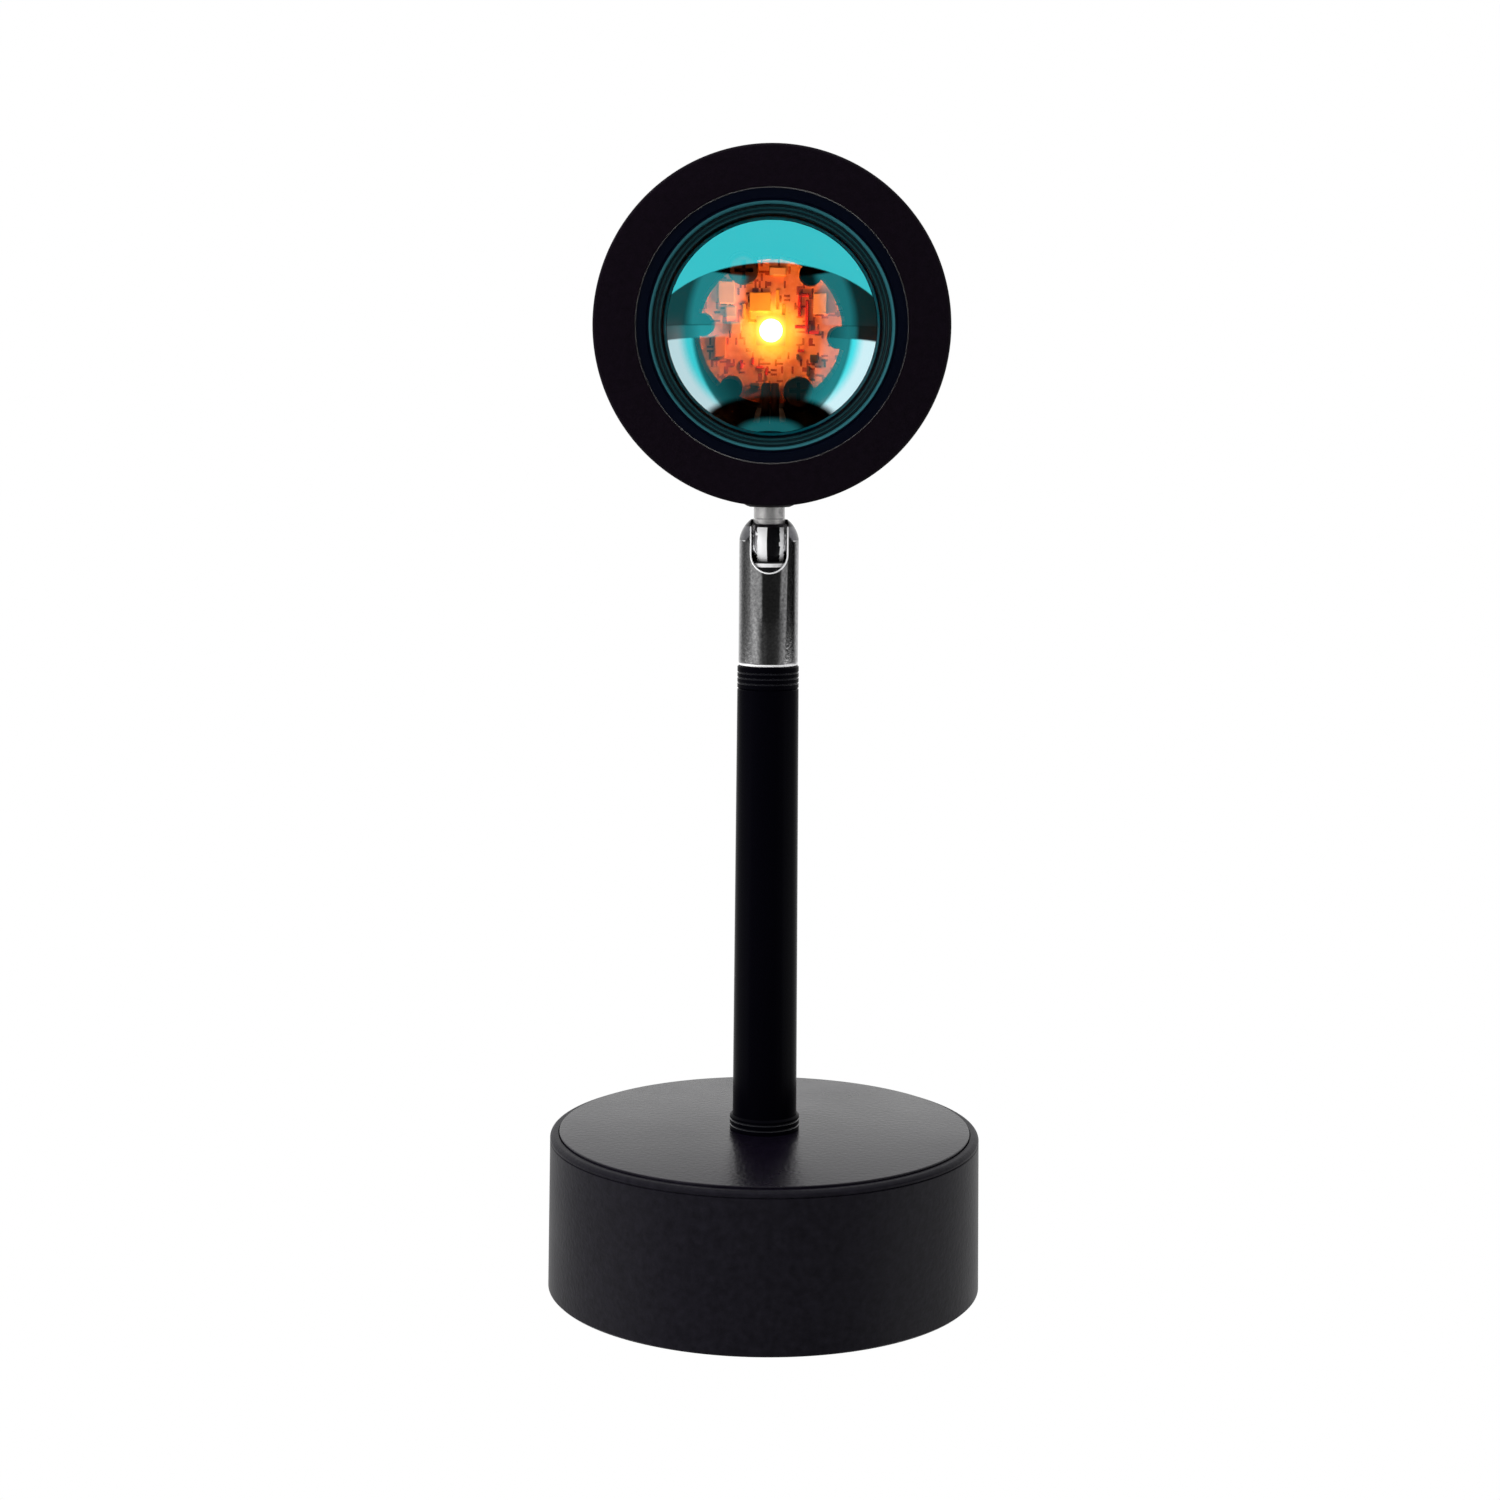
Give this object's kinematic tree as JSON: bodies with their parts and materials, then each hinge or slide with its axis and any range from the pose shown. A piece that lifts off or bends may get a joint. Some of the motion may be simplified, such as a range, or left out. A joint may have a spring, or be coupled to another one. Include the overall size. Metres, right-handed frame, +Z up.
{
  "type": "sunset projection lamp",
  "caption": "Table lamp with a weighted round base, a slim pole, a slotted ball swivel and a drum-shaped head that projects through a coated lens.",
  "frame": {"origin": "centre of the base on the surface that it stands on", "axes": "+Z up along the pole, the lens looks towards -Y"},
  "size_m": [0.1084, 0.1084, 0.28],
  "materials": {
    "base_paint": "satin black stove enamel",
    "pole_paint": "gloss black enamel",
    "chrome_trim": "polished chrome plate",
    "head_black": "fine matt black powder coat",
    "ring_black": "dark anodised, semi-gloss",
    "lens_glass": "clear glass with a blue-green reflecting coat",
    "rubber_black": "matt black rubber",
    "zinc_steel": "bright zinc plate",
    "ballast_iron": "raw cast iron",
    "board_laminate": "green solder mask",
    "electronics": "black and grey moulded components",
    "plug_nylon": "natural nylon",
    "seat_acetal": "black acetal",
    "star_board": "white solder mask on aluminium",
    "led_resin": "clear silicone over yellow phosphor",
    "chip_ceramic": "pale ceramic chips",
    "baffle_black": "matt black",
    "sink_aluminium": "plain extruded",
    "pad_silicone": "grey silicone",
    "lead_pvc": "red and black insulated cores"
  },
  "bodies": {
    "root": {"base_shell": "base_paint", "top_plate": "base_paint", "bottom_cover": "baffle_black", "cover_screws": "zinc_steel", "anti_slip_pad": "rubber_black", "ballast_weight": "ballast_iron", "cord_grommet": "rubber_black", "driver_board": "board_laminate", "driver_screws": "zinc_steel", "driver_components": "electronics", "driver_plug": "plug_nylon", "threaded_nipple": "zinc_steel", "base_washer": "zinc_steel", "base_nut": "zinc_steel", "pole_foot": "pole_paint", "pole_tube": "pole_paint", "pole_top_cap": "pole_paint", "pole_lead": "lead_pvc", "swivel_stud": "zinc_steel", "friction_washer": "zinc_steel"},
    "swivel": {"swivel_sleeve": "chrome_trim", "ball_seat": "seat_acetal", "disc_springs": "zinc_steel"},
    "neck": {"ball_neck": "chrome_trim", "neck_washer": "zinc_steel", "neck_nut": "zinc_steel", "neck_lead": "lead_pvc"},
    "head": {"head_housing": "head_black", "neck_boss": "head_black", "front_bezel": "head_black", "lens": "lens_glass", "lens_gasket": "rubber_black", "lens_retaining_ring": "ring_black", "light_baffle": "baffle_black", "heat_sink": "sink_aluminium", "thermal_pad": "pad_silicone", "led_board": "star_board", "led_emitter": "led_resin", "board_chips": "chip_ceramic", "board_screws": "zinc_steel", "rear_cover": "head_black", "rear_cover_screws": "zinc_steel", "head_lead": "lead_pvc"}
  },
  "joints": [
    {"name": "socket_turn", "type": "hinge", "parent": "root", "child": "swivel", "pos_m": [0, 0, 0.1579], "axis": [0, 0, 1], "range_deg": [-175, 175]},
    {"name": "neck_tilt", "type": "hinge", "parent": "swivel", "child": "neck", "pos_m": [0, 0, 0.18775], "axis": [1, 0, 0], "range_deg": [-5, 90]},
    {"name": "head_turn", "type": "hinge", "parent": "neck", "child": "head", "pos_m": [0, 0, 0.1966], "axis": [0, 0, 1], "range_deg": [-175, 175]}
  ]
}
